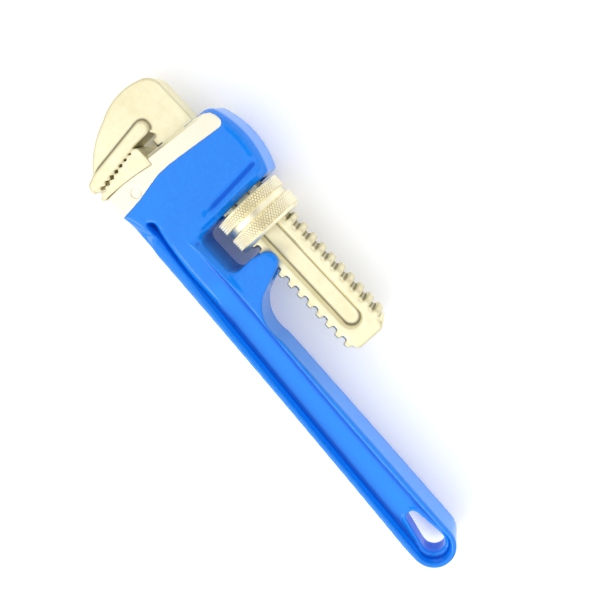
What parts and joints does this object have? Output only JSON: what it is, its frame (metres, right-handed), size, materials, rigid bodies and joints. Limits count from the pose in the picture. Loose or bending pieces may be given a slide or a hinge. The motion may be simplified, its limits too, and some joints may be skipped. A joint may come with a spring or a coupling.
{
  "type": "pipe wrench",
  "caption": "Straight pipe wrench with a toothed hook jaw that slides through an integral housing, a knurled adjusting nut and a hollow-sided handle with a hanging hole.",
  "frame": {"origin": "bottom centre of the whole wrench's box, with the jaws closed and the wrench lying on its side", "axes": "+X along the hook jaw's shank, from the handle's end towards the hook; +Y out of the mouth side, towards the heel jaw's teeth tips; +Z square to the broad sides, up from what it lies on"},
  "size_m": [0.219, 0.0667, 0.0294],
  "materials": {
    "blue_enamel": "gloss enamel on cast iron",
    "nickel_plate": "satin nickel plate on forged steel",
    "knurled_nickel": "diamond knurl, nickel plated",
    "spring_steel": "oiled blue-grey spring steel"
  },
  "bodies": {
    "frame": {"handle": "blue_enamel", "heel_jaw": "nickel_plate", "heel_jaw_pin": "nickel_plate", "coil_spring": "spring_steel"},
    "spring_plate": {"flat_spring": "spring_steel", "spring_rivet": "spring_steel"},
    "hook": {"hook_jaw": "nickel_plate"},
    "nut": {"adjusting_nut": "knurled_nickel"}
  },
  "joints": [
    {"name": "jaw_rock", "type": "hinge", "parent": "frame", "child": "spring_plate", "pos_m": [0.08112, -0.02496, 0.0147], "axis": [0, 0, 1], "range_deg": [-3, 0], "stiffness_Nm_per_rad": 1.3, "springref_deg": 2.86, "deforming": ["coil_spring"]},
    {"name": "jaw_slide", "type": "slide", "parent": "spring_plate", "child": "hook", "axis": [1, 0, 0], "range_m": [0, 0.046]},
    {"name": "nut_spin", "type": "hinge", "parent": "spring_plate", "child": "nut", "pos_m": [0.04112, -0.01396, 0.0147], "axis": [1, 0, 0], "range_deg": [-3140, 0]}
  ],
  "couplings": [
    {"joint": "nut_spin", "follows": "jaw_slide", "rad_per_m": -1190}
  ]
}
